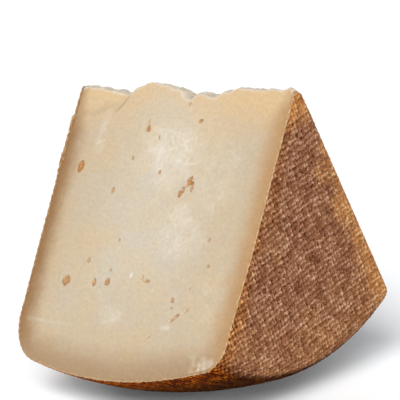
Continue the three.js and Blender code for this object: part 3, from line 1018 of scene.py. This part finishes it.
@dataclass(frozen=True)
class Paste:
    """The inside of the cheese, out to just under the rind."""

    sector: Sector
    crest: Crest
    eyes: Eyes
    division: Division
    spacing: float = 0.55
    clearance: float = 0.6
    sink: float = 0.12
    # Pale patches on the shown cut: knife streaks, partly painted sheen
    smears_and_sheen: tuple[SmearAndSheen, ...] = (
        SmearAndSheen(3, 26, 16, 15, 0.65),
        SmearAndSheen(21, 32, 13, 16, 0.3),
        SmearAndSheen(14, 50, 12, 14, 0.5),
        SmearAndSheen(-29.6, 18.5, 2.6, 10, 0.6),
        SmearAndSheen(-4.5, 79, 6, 5, 0.45),
        SmearAndSheen(18.3, 80.5, 2.4, 1.3, 0.55),
        SmearAndSheen(-1.1, 65.5, 0.7, 1.3, 1.7),
        SmearAndSheen(-33, 84, 16, 0.8, 0.3),
        SmearAndSheen(33, 68, 7, 14, 0.2),
    )
    smear_and_sheen_lumps: Layers = ((0.2, 6, 43),)
    smear_and_sheen_edge: Reach = (0.3, 1.1)
    # The crest's tint, and how much stronger and deeper it is off its middle
    tint_middle: float = -12.0
    tint_lumps: Layers = ((2.5, 7, 41), (1.2, 3, 42))
    tint_sides: Reach = (6, 26)
    tint_edge: Reach = (1, 15)
    tint: float = 0.65
    side_tint: float = 0.1
    side_reach: float = 9.0
    # Where the bands grow to their full width under the crest, by the side of the middle
    far_bands: Reach = (6, 24)
    near_bands: Reach = (2, 12)
    # The chalky break of the crest and of the chips, where no eye is coloured
    break_depth: float = 0.7
    chip_lumps: Layers = ((0.45, 1.8, 44),)
    chip_edge: Reach = (0.1, 0.6)
    chip_chalk: float = 0.5
    chip_limit: float = 0.1
    # The colour in the eyes, their own darker paste: how far under the crest it starts, the painted
    # shade that darkens it as they sink, and how it pales low down
    eye_start: float = 0.4
    eye_rim: Reach = (0.02, 0.4)
    eye_floor_shade: Reach = (0.25, 1.0)
    floor_shade_share: float = 0.3
    low_down: Reach = (45, 65)
    paling: float = 0.12
    name: str = "paste"

    def blank(self) -> bpy.types.Object:
        """The paste before its crest crumbled and its eyes were cut open."""
        wheel, division = self.sector.wheel, self.division
        outline, outward = wheel.outline(division.face_steps, division.rim_step)
        inner = wheel.inside(outline, outward, division.rind_depth)
        steps = round((inner[0, 0] - inner[-1, 0]) / self.spacing)
        axis_x = np.linspace(inner[-1, 0], inner[0, 0], steps)[1:-1]
        border = np.vstack([inner, np.stack([axis_x, np.zeros(len(axis_x))], 1)])
        flat = np.vstack([border, self.net(border)])
        edges = [(i, (i + 1) % len(border)) for i in range(len(border))]
        made = delaunay_2d_cdt([Vector(p) for p in flat], edges, [], 1, TINY)
        triangles = np.array([came[0] for came in made[3]])[np.array(made[2])]
        parts = [self.sector.place(*flat.T, cut.value * wheel.half_angle) for cut in Cut]
        faces = [triangles[:, ::-1], triangles + len(flat)]
        angles = np.linspace(-wheel.half_angle, wheel.half_angle, division.turn_steps + 1)
        for angle in angles:
            at_cut = abs(angle) > wheel.half_angle - TINY
            line = wheel.inside(outline, outward, division.rind_depth + (0 if at_cut else self.sink))
            line[[0, -1]] = inner[[0, -1]]
            parts.append(self.sector.place(*line.T, angle))
        numbers = np.arange(len(angles) * len(inner)).reshape(len(angles), -1) + 2 * len(flat)
        return new_piece(self.name, np.vstack(parts), faces + [grid_faces(numbers)[:, ::-1]])

    def net(self, border: np.ndarray) -> np.ndarray:
        """A triangular net of points well inside a closed border.

        Args:
            border: n by 2 points in order.

        Returns:
            The points of the net that lie inside.
        """
        low, high = border.min(0), border.max(0)
        rows = np.arange(low[1] + self.spacing / 2, high[1], self.spacing * math.sqrt(3) / 2)
        net = np.stack(np.meshgrid(np.arange(low[0], high[0], self.spacing), rows), 2)
        net[1::2, :, 0] += self.spacing / 2
        net = net.reshape(-1, 2)
        inside, clear = np.zeros(len(net), bool), np.full(len(net), np.inf)
        for start, end in zip(border, np.roll(border, -1, 0)):
            if start[1] != end[1]:
                at = start[0] + (net[:, 1] - start[1]) * (end[0] - start[0]) / (end[1] - start[1])
                inside ^= ((start[1] > net[:, 1]) != (end[1] > net[:, 1])) & (net[:, 0] < at)
            np.minimum(clear, np.hypot(net[:, 0] - start[0], net[:, 1] - start[1]), out=clear)
        return net[inside & (clear > self.spacing * self.clearance)]

    def build(self, waste: bpy.types.Object, finish: bpy.types.Material) -> bpy.types.Object:
        """Builds the finished paste.

        Args:
            waste: the block that crumbled off the crest.
            finish: the paste's material.

        Returns:
            The paste as one closed mesh.
        """
        obj = self.blank()
        cut_away(obj, waste)
        self.eyes.open(obj, self.eyes.hollows + self.eyes.chips, finish)
        self.mark(obj.data)
        smooth(obj.data)
        return obj

    def mark(self, mesh: bpy.types.Mesh) -> None:
        """Keeps where each point lies in the cheese as attributes for the finish."""
        wheel, half_width, at = self.sector.wheel, self.crest.half_width, points_of(mesh)
        x, radius, depth = at[:, 0], wheel.radius(at), wheel.depth(at)
        on_shown = at[:, 1] < 0
        store(mesh, "under_rind", depth)
        store(mesh, "nearest_rind", wheel.nearness(at))
        ragged = layered(x, radius, self.tint_lumps, radius)
        sideways = smoothstep(np.abs(x - self.tint_middle), *self.tint_sides)
        start, end = self.tint_edge
        tinted = 1 - smoothstep(ragged, start, end + self.side_reach * sideways)
        store(mesh, "crest", (self.tint + self.side_tint * sideways) * tinted)
        far, near = (smoothstep(ragged, *reach) for reach in (self.far_bands, self.near_bands))
        store(mesh, "faded", 1 - np.where(x < 0, far, near))
        # Where the pale knife streaks lie, partly painted sheen
        smear_and_sheen_strength = np.zeros(len(x))
        for smear in self.smears_and_sheen:
            away = self.away(smear, x, radius, self.smear_and_sheen_lumps)
            smear_and_sheen_strength = np.maximum(smear_and_sheen_strength, smear.strength * (1 - smoothstep(away, *self.smear_and_sheen_edge)))
        store(mesh, "smear", smear_and_sheen_strength * on_shown)
        in_chip = np.zeros(len(x))
        for chip in self.eyes.chips:
            away = self.away(chip, x, radius, self.chip_lumps)
            in_chip = np.maximum(in_chip, 1 - smoothstep(away, *self.chip_edge))
        below_crest = self.crest.height(x, np.clip(at[:, 1], -half_width, half_width)) - at[:, 2]
        crumbled = 1 - smoothstep(below_crest, 0, self.break_depth)
        store(mesh, "broken", np.maximum(self.chip_chalk * in_chip * on_shown, crumbled))
        # Painted shade in the eyes: their colour darkens as they sink
        sunk = np.minimum(*(self.sector.sunk(cut, at) for cut in Cut))
        deep = 1 - self.floor_shade_share + self.floor_shade_share * smoothstep(sunk, *self.eye_floor_shade)
        deep = smoothstep(sunk, *self.eye_rim) * deep
        paler = 1 - self.paling * smoothstep(radius, *self.low_down)
        in_paste = (depth > self.division.rind_depth + 2 * self.sink) & (below_crest > self.eye_start)
        store(mesh, "hollow", np.where(in_paste & (in_chip < self.chip_limit), deep * paler, 0))

    def away(self, patch: SmearAndSheen | Eye, x: np.ndarray, radius: np.ndarray, ragged: Layers) -> np.ndarray:
        """How far points lie from the middle of a patch, in its own widths and heights.

        Args:
            patch: the patch.
            x: places along the axis.
            radius: distances from the axis.
            ragged: the lumps that make its edge uneven.

        Returns:
            The distances, 0 in the middle.
        """
        from_middle = np.hypot((x - patch.along) / patch.wide, (radius - patch.down) / patch.high)
        return layered(x, radius, ragged, from_middle)


@dataclass(frozen=True)
class Rind:
    """The skin over both flat faces, the shoulders and the rim, as one closed shell."""

    sector: Sector
    eyes: Eyes
    division: Division
    cloth: Cloth
    # The imprint's height, the level in it that stays in place, and what rubbing and the painted foot light
    # leave of it
    relief: float = 0.45
    level: float = 0.6
    wear_and_foot_light_relief: float = 0.8
    # The lines on the rind's edge along a cut, as shares of its depth
    strip: tuple[float, ...] = (0, 0.1, 0.5, 1)
    skin_start: float = 0.03
    flat_height: float = 0.01
    cloth_end: float = 0.7
    far_shift: float = 70.0
    ragged: Layers = ((3, 7, 31), (2, 3, 32))
    # Where the rim's painted shade starts and is full, how that moves at the corner with the shown cut, and
    # how far from that cut it deepens
    rim_start: float = -3.0
    rim_end: float = 0.5
    corner: Reach = (4, 18)
    corner_raggedness: float = 0.7
    corner_shifts: tuple[float, float, float] = (2.5, -1.5, 3.0)
    shade_reach: Reach = (-2, 18)
    # Rubbing beside the hidden cut, at the crest and low down beside the shown cut, and painted bounce light
    # at the foot
    wear_width: float = 3.0
    wear_spread: float = 0.16
    wear_raggedness: float = 1.2
    crest_wear: Reach = (7, 20)
    low_down: Reach = (35, 60)
    shown_wear: Reach = (0, 7)
    shown_wear_share: float = 0.2
    foot_light: Reach = (60, 85)
    foot_light_share: float = 0.3
    # How far from the shown cut the rim's rubbed and foot-lit lightness gives way to painted shade, and how
    # much of it that takes away
    unworn_shaded_rim: Reach = (10, 35)
    unworn_shaded_rim_share: float = 0.8
    # The darker skin beside the shown cut, and how much of it is there high up
    beside_cut: Reach = (1, 8)
    high_share: float = 0.5
    # The far face's frayed fringe beside the shown cut, over these distances from the wheel's axis
    fringe: Reach = (13.5, 38.0)
    fringe_rise: float = 1.0
    fringe_fall: float = 8.0
    fringe_lumps: Layers = ((0.3, 2, 33),)
    fringe_level: float = 0.7
    fringe_depth: Reach = (0.3, 0.9)
    fringe_width: Reach = (1, 4)
    fringe_swell: float = 0.9
    name: str = "rind"

    def skin(self, count: int) -> tuple[list[np.ndarray], list[np.ndarray]]:
        """The outside of the shell, as rows of turns that grow from a point to the full width.

        Args:
            count: how many points the section has.

        Returns:
            The turns of each row's points, and the faces between the rows.
        """
        half = self.sector.wheel.half_angle
        sizes = [min(i, count - 1 - i, self.division.face_steps) for i in range(count)]
        rows = [np.linspace(-half, half, size + 1) for size in sizes]
        starts = np.cumsum([0] + [len(row) for row in rows])
        faces = []
        for a, b, size, following in zip(starts, starts[1:], sizes, sizes[1:]):
            j, k, grows = np.arange(size), np.arange(following), int(following >= size)
            faces.append(np.stack([a + j, b + j + grows, a + j + 1], 1))
            faces.append(np.stack([a + k + 1 - grows, b + k, b + k + 1], 1))
        return rows, faces

    def blank(self) -> bpy.types.Object:
        """The whole shell before its crest crumbled."""
        wheel, division, place = self.sector.wheel, self.division, self.sector.place
        outline, outward = wheel.outline(division.face_steps, division.rim_step)
        rows, faces = self.skin(len(outline))
        which = np.repeat(np.arange(len(rows)), [len(row) for row in rows])
        parts = [place(*outline[which].T, np.concatenate(rows))]
        angles = np.linspace(-wheel.half_angle, wheel.half_angle, division.turn_steps + 1)
        inner = wheel.inside(outline, outward, division.rind_depth)
        walls = [[place(*inner.T, angle) for angle in angles]]
        lines = [wheel.inside(outline, outward, division.rind_depth * share) for share in self.strip]
        for cut in Cut:
            walls.append([place(*line.T, cut.value * wheel.half_angle) for line in lines[::-cut.value]])
        total = len(parts[0])
        for wall in walls:
            numbers = np.arange(len(wall) * len(outline)).reshape(len(wall), -1) + total
            faces.append(grid_faces(numbers))
            parts += wall
            total += numbers.size
        return new_piece(self.name, np.vstack(parts), faces)

    def build(self, waste: bpy.types.Object, finish: bpy.types.Material) -> bpy.types.Object:
        """Builds the finished rind.

        Args:
            waste: the block that crumbled off the crest.
            finish: the rind's material.

        Returns:
            The rind as one closed mesh.
        """
        obj = self.blank()
        cut_away(obj, waste)
        self.eyes.open(obj, self.eyes.chips, finish)
        self.mark(obj.data)
        shape(obj, self.tree(), {
            "Depth": self.relief * MM, "Swell": self.fringe_swell * MM, "Finish": finish})
        smooth(obj.data)
        return obj

    def lay_cloth(self, mesh: bpy.types.Mesh, at: np.ndarray) -> np.ndarray:
        """Lays the cloth's thread counts on the shell: one cloth on each flat face, one round the rim.

        Args:
            mesh: the shell.
            at: its points, in millimetres.

        Returns:
            How far each point lies past the end of its face's cloth, onto the rim.
        """
        wheel = self.sector.wheel
        x, radius, angle = at[:, 0], wheel.radius(at), wheel.angle(at)
        near, far = (wheel.reach(side, x, radius) for side in (wheel.near, wheel.far))
        places = (
            (near * np.sin(angle), -near * np.cos(angle)),
            (wheel.belly_radius * angle, -near),
            (far * np.sin(angle) + self.far_shift, -far * np.cos(angle)),
        )
        counts = np.stack([self.cloth.counts(*place) for place in places])
        corners = np.empty(len(mesh.loops), np.int32)
        starts, sizes = (np.empty(len(mesh.polygons), np.int32) for _ in range(2))
        mesh.loops.foreach_get("vertex_index", corners)
        mesh.polygons.foreach_get("loop_start", starts)
        mesh.polygons.foreach_get("loop_total", sizes)
        at_x, at_near, at_far = (np.add.reduceat(way[corners], starts) / sizes for way in (x, near, far))
        near_end, far_end = (
            wheel.face_end(side) + self.cloth_end * walked(wheel.shoulder_curve(side))[-1]
            for side in (wheel.near, wheel.far)
        )
        chart = np.where(at_x > 0, np.where(at_near < near_end, 0, 1), np.where(at_far < far_end, 2, 1))
        threads = counts[np.repeat(chart, sizes), corners]
        mesh.uv_layers.new(name="cloth").data.foreach_set("uv", threads.astype(np.float32).ravel())
        return np.minimum(near - near_end, far - far_end)

    def mark(self, mesh: bpy.types.Mesh) -> None:
        """Keeps where the shell is skin, is rubbed, takes painted rim shade and foot light, and frays, for
        the finish.
        """
        wheel, at = self.sector.wheel, points_of(mesh)
        x, radius, angle, depth = at[:, 0], wheel.radius(at), wheel.angle(at), wheel.depth(at)
        onto_rim = self.lay_cloth(mesh, at)
        store(mesh, "outward", wheel.outward(at))
        store(mesh, "under_rind", depth)
        store(mesh, "nearest_rind", wheel.nearness(at))
        skin = 1 - smoothstep(depth, self.skin_start, self.division.rind_depth * self.strip[1])
        store(mesh, "skin", np.where(at[:, 2] < self.flat_height, 1, skin))
        to_shown, to_hidden = (radius * np.sin(wheel.half_angle - cut.value * angle) for cut in Cut)
        ragged = layered(at[:, 1], at[:, 2], self.ragged)
        # The rim's mask for painted shade, which deepens away from the shown cut
        rim = self.rim(onto_rim, to_shown + self.corner_raggedness * ragged)
        store(mesh, "rim", rim)
        store(mesh, "sheltered", smoothstep(to_shown, *self.shade_reach))
        wide = self.wear_width + self.wear_spread * radius
        lower = smoothstep(radius, *self.low_down)
        beside_shown = 1 - smoothstep(to_shown + ragged, *self.shown_wear)
        worn = np.maximum.reduce([
            1 - smoothstep((to_hidden + self.wear_raggedness * ragged) / wide, 0, 1),
            1 - smoothstep(radius + ragged, *self.crest_wear),
            self.shown_wear_share * lower * beside_shown,
            # Painted bounce light from the floor, lighter towards the foot
            self.foot_light_share * smoothstep(radius, *self.foot_light),
        ])
        store(mesh, "worn", worn * (1 - self.unworn_shaded_rim_share * rim * smoothstep(to_shown, *self.unworn_shaded_rim)))
        share = self.high_share + (1 - self.high_share) * lower
        store(mesh, "beside_cut", share * (1 - smoothstep(to_shown + ragged, *self.beside_cut)))
        store(mesh, "fringe", self.frayed(radius, depth, to_shown) * (x < 0))

    def rim(self, onto_rim: np.ndarray, from_cut: np.ndarray) -> np.ndarray:
        """How much of the rim's painted shade the skin has, by its ways onto the rim and from the shown cut.
        """
        at_corner = 1 - smoothstep(from_cut, *self.corner)
        further, earlier, later = (shift * at_corner for shift in self.corner_shifts)
        return smoothstep(onto_rim + further, self.rim_start + earlier, self.rim_end + later)

    def frayed(self, radius: np.ndarray, depth: np.ndarray, to_shown: np.ndarray) -> np.ndarray:
        """How much the shown cut's edge frays, from 0 to 1.

        Args:
            radius: distances from the wheel's axis.
            depth: distances under the rind's surface.
            to_shown: distances to the shown cut.

        Returns:
            The share of the full swell at each place.
        """
        start, end = self.fringe
        fringe = smoothstep(radius, start, start + self.fringe_rise)
        fringe *= 1 - smoothstep(radius, end - self.fringe_fall, end)
        fringe *= layered(radius, to_shown, self.fringe_lumps, self.fringe_level)
        fringe *= 1 - smoothstep(depth, *self.fringe_depth)
        return fringe * (1 - smoothstep(to_shown, *self.fringe_width))

    def tree(self) -> bpy.types.NodeTree:
        """The node tree that presses the cloth's marks into the skin."""
        board, entry = new_shaper("cloth_imprint", {"Depth": "Float", "Swell": "Float", "Finish": "Material"})
        counts, outward = board.read("FLOAT_VECTOR", "cloth", "outward")
        skin, worn, fringe = board.read("FLOAT", "skin", "worn", "fringe")
        here = board.add("GeometryNodeInputPosition").outputs[0]
        height = self.cloth.height(board, counts, here)
        # Rubbing and the painted foot light both flatten the imprint
        fresh = board.spread(worn, Span(0.0, 1.0, 1.0, self.wear_and_foot_light_relief))
        deep = board.math("MULTIPLY", board.math("MULTIPLY", fresh, skin), entry["Depth"])
        amount = board.math("MULTIPLY", board.math("SUBTRACT", height, self.level), deep)
        swollen = board.math("MULTIPLY_ADD", fringe, entry["Swell"], amount)
        pressed = board.moved(entry["Geometry"], "Offset", board.scale(outward, swollen))
        there = board.add("GeometryNodeInputPosition").outputs[0]
        floored = board.vector("MAXIMUM", there, (-1.0, -1.0, 0.0))
        board.dress(board.moved(pressed, "Position", floored), entry["Finish"])
        return board.tree


@dataclass(frozen=True)
class FloorFinish:
    """Matt white studio paper, which gives the eye nothing but the wedge's own soft shadow."""

    white: str = "#f8fafb"
    grain: float = 3.0

    def material(self) -> bpy.types.Material:
        """Builds the paper's material."""
        made, board, spot = new_shader("studio_paper")
        fibre = board.add("ShaderNodeTexNoise", {"Vector": spot, "Scale": 1 / (self.grain * MM)})
        board.surface(fibre.outputs[0], strength=0.02, distance=0.1, inputs={
            "Base Color": linear(self.white), "Roughness": 0.9})
        return made


@dataclass(frozen=True)
class Lamp:
    """A broad distant light, by the direction that it comes from, its width in degrees and its strength."""

    azimuth: float
    elevation: float
    width: float
    strength: float


@dataclass(frozen=True)
class Studio:
    """The white floor, the soft lights and the camera."""

    azimuth: float = 40.722
    elevation: float = 11.35
    roll: float = 4.387
    distance: float = 633.23
    focal_pixels: float = 1946.33
    aim_side: float = 1.464
    aim_height: float = 60.052
    clips: tuple[float, float] = (0.01, 50.0)
    floor_size: float = 8000.0
    room: str = "#e9edf6"
    surround: float = 0.125
    lamps: tuple[Lamp, ...] = (
        Lamp(14, 42, 28, 2.04),
        Lamp(34, 33, 26, 1.9),
        Lamp(41, 9, 16, 1.4),
        Lamp(90, 10, 20, 0.8),
        Lamp(-110, 9, 24, 1.1),
        Lamp(-135, 9, 24, 0.8),
        Lamp(-160, 9, 24, 0.5),
    )

    def toward(self, azimuth: float, elevation: float) -> Vector:
        """The direction from the wedge towards a place round it."""
        turn, rise = math.radians(azimuth), math.radians(elevation)
        return Vector((math.sin(turn) * math.cos(rise), -math.cos(turn) * math.cos(rise), math.sin(rise)))

    def add_camera(self) -> None:
        """Adds the camera where the photograph was taken from."""
        back = self.toward(self.azimuth, self.elevation)
        turn, roll = math.radians(self.azimuth), math.radians(self.roll)
        right = Vector((math.cos(turn), math.sin(turn), 0))
        side = right * math.cos(roll) - back.cross(right) * math.sin(roll)
        pose = Matrix((side, back.cross(side), back)).transposed().to_4x4()
        aim = right * self.aim_side + Vector((0, 0, self.aim_height))
        pose.translation = (aim + back * self.distance) * MM
        data = bpy.data.cameras.new("camera")
        data.sensor_width = SENSOR_WIDTH
        data.lens = self.focal_pixels * SENSOR_WIDTH / IMAGE_SIZE
        data.clip_start, data.clip_end = self.clips
        camera = add_object("camera", data)
        camera.matrix_world = pose
        bpy.context.scene.camera = camera

    def add_lights(self) -> None:
        """Adds the lamps and the even light of the room."""
        for number, lamp in enumerate(self.lamps):
            data = bpy.data.lights.new(f"lamp_{number}", "SUN")
            data.angle, data.energy = math.radians(lamp.width), lamp.strength
            direction = self.toward(lamp.azimuth, lamp.elevation)
            add_object(data.name, data).rotation_euler = direction.to_track_quat("Z", "Y").to_euler()
        world = bpy.data.worlds.new("studio")
        world.use_nodes = True
        room = world.node_tree.nodes["Background"].inputs
        room["Color"].default_value, room["Strength"].default_value = linear(self.room), self.surround
        bpy.context.scene.world = world
        bpy.context.scene.view_settings.view_transform = "Standard"

    def add_floor(self) -> None:
        """Adds the floor that the wedge stands on."""
        half = self.floor_size / 2
        corners = np.array([(-half, -half, 0), (half, -half, 0), (half, half, 0), (-half, half, 0)])
        floor = new_piece("floor", corners, [np.array([(0, 1, 2), (0, 2, 3)])])
        floor.data.materials.append(FloorFinish().material())


def hand_over(piece: bpy.types.Object) -> None:
    """Declares a finished piece to the frame and reports it."""
    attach(piece, BODY)
    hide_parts(CAD_NODE)
    log.info("%s: %d triangles", piece.name, sum(len(face.vertices) - 2 for face in piece.data.polygons))


def main() -> None:
    """Builds the wedge's pieces in order, then the studio round them."""
    studio = Studio()
    studio.add_camera()
    wheel, division, cloth, bands = Wheel(), Division(), Cloth(), Bands()
    sector, crest = Sector(wheel), Crest(wheel)
    eyes = Eyes(sector)
    waste = crest.waste()
    paste = Paste(sector, crest, eyes, division).build(waste, PasteFinish(bands).material())
    hand_over(paste)
    rind = Rind(sector, eyes, division, cloth).build(waste, RindFinish(cloth, bands).material())
    hand_over(rind)
    bpy.data.objects.remove(waste)
    studio.add_floor()
    studio.add_lights()


if __name__ == "__main__":
    main()
